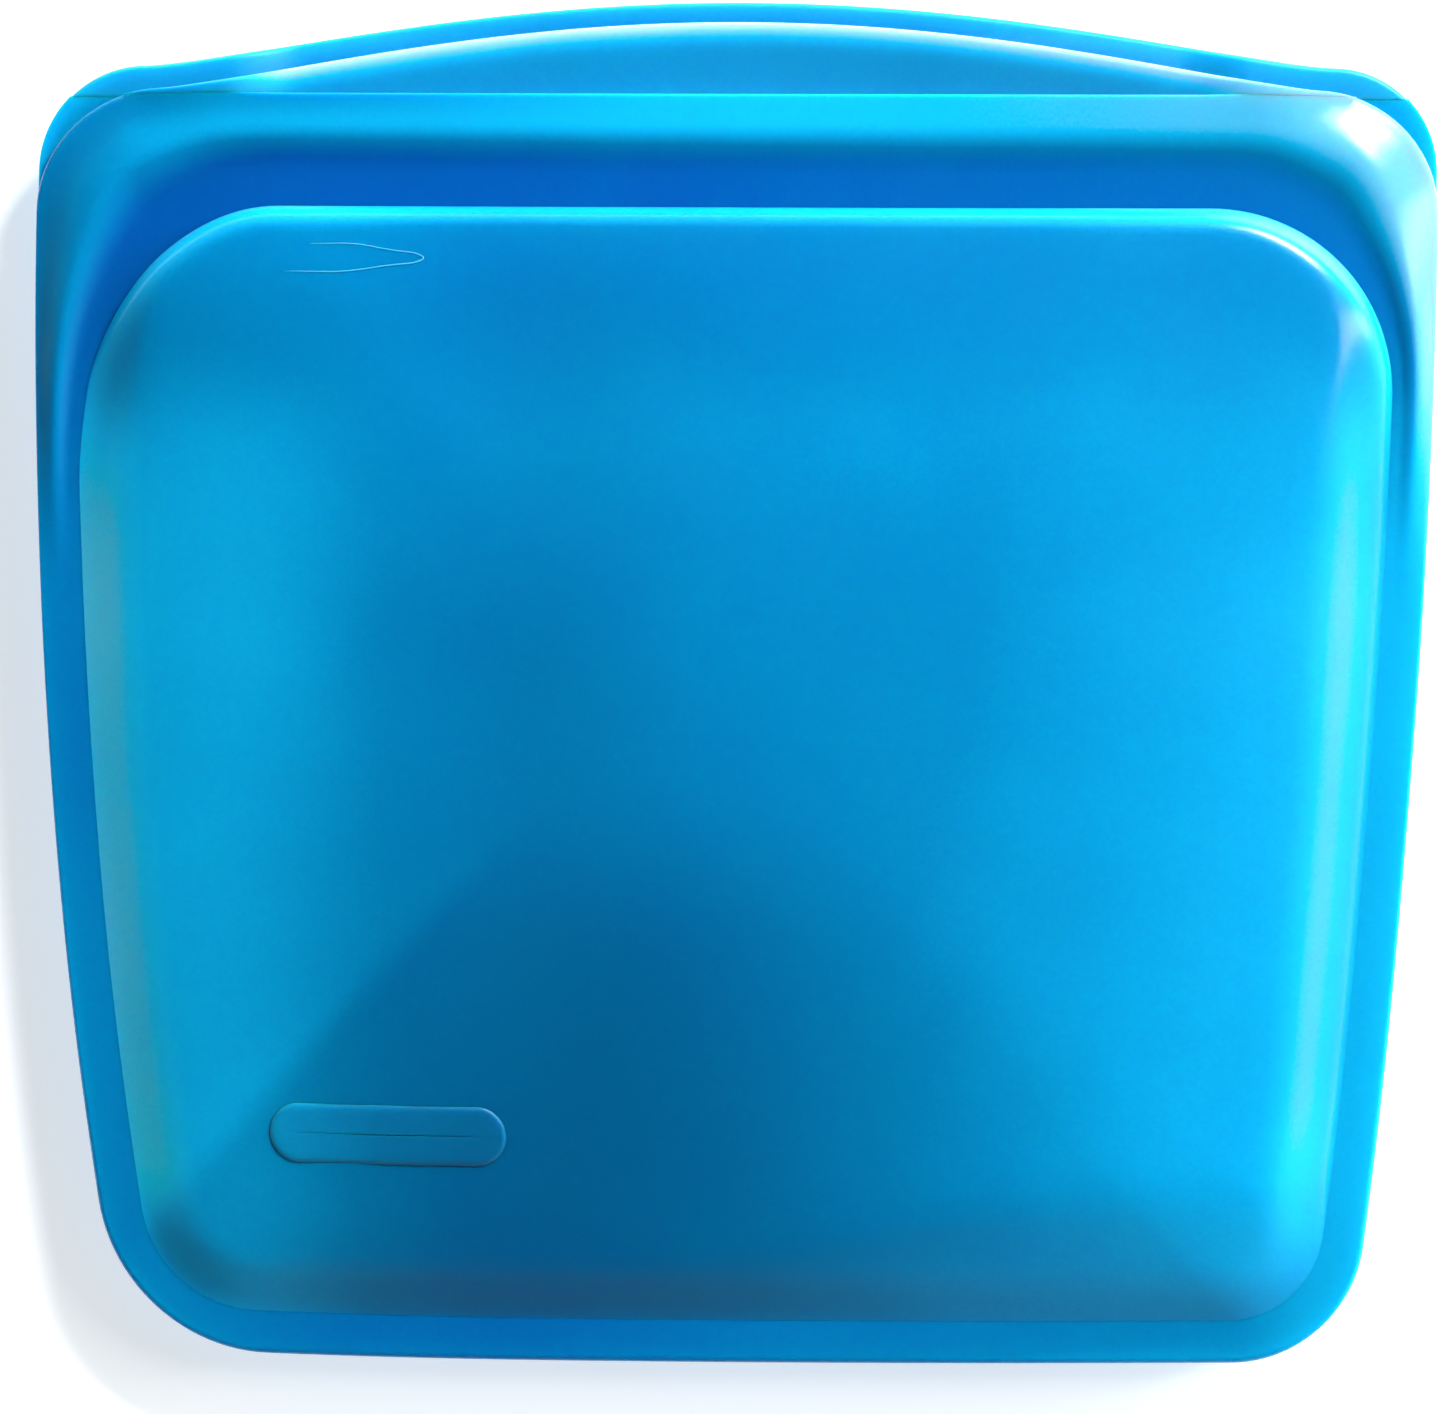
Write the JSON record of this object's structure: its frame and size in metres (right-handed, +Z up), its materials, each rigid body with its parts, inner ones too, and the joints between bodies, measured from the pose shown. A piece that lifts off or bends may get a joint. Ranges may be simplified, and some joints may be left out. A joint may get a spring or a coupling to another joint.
{
  "type": "reusable silicone bag",
  "caption": "Flat-lying reusable silicone food bag with a domed pouch, a bonded flange and a pinch-seal mouth that folds open between two arched lips.",
  "frame": {"origin": "on the surface the bag lies on, under the middle of its overall box", "axes": "+X across the bag to the right, +Y towards the mouth and the lips, +Z up through the thickness, out of the front wall"},
  "size_m": [0.1906, 0.1846, 0.024],
  "materials": {
    "pouch_silicone": "translucent azure silicone, satin",
    "flange_silicone": "translucent azure silicone, satin, thicker",
    "bond_silicone": "deep azure bond line",
    "patch_silicone": "raised azure silicone, matt",
    "mouth_silicone": "translucent azure silicone, glossy",
    "seal_silicone": "azure silicone, smooth"
  },
  "bodies": {
    "pouch": {"front_wall": "pouch_silicone", "back_wall": "pouch_silicone", "front_rim": "flange_silicone", "back_rim": "flange_silicone", "rim_bond": "bond_silicone", "write_patch": "patch_silicone"},
    "front_mouth": {"front_neck": "mouth_silicone", "front_seal_bar": "mouth_silicone", "seal_tongue": "seal_silicone"},
    "front_tab": {"front_lip": "mouth_silicone"},
    "back_mouth": {"back_neck": "mouth_silicone", "back_seal_bar": "mouth_silicone", "inner_channel_rib": "seal_silicone", "outer_channel_rib": "seal_silicone"},
    "back_tab": {"back_lip": "mouth_silicone"}
  },
  "joints": [
    {"name": "front_fold", "type": "hinge", "parent": "pouch", "child": "front_mouth", "pos_m": [0, 0.065, 0.0138], "axis": [1, 0, 0], "range_deg": [0, 60], "stiffness_Nm_per_rad": 0.02, "springref_deg": -28.65},
    {"name": "front_lip_curl", "type": "hinge", "parent": "front_mouth", "child": "front_tab", "pos_m": [0, 0.07995, 0.0124], "axis": [1, 0, 0], "range_deg": [0, 30]},
    {"name": "back_fold", "type": "hinge", "parent": "pouch", "child": "back_mouth", "pos_m": [0, 0.065, 0.0062], "axis": [-1, 0, 0], "range_deg": [0, 50], "stiffness_Nm_per_rad": 0.02, "springref_deg": -28.65},
    {"name": "back_lip_curl", "type": "hinge", "parent": "back_mouth", "child": "back_tab", "pos_m": [0, 0.07995, 0.0076], "axis": [-1, 0, 0], "range_deg": [0, 25]}
  ],
  "couplings": [
    {"joint": "front_lip_curl", "follows": "front_fold", "ratio": 0.45},
    {"joint": "back_lip_curl", "follows": "back_fold", "ratio": 0.45}
  ]
}
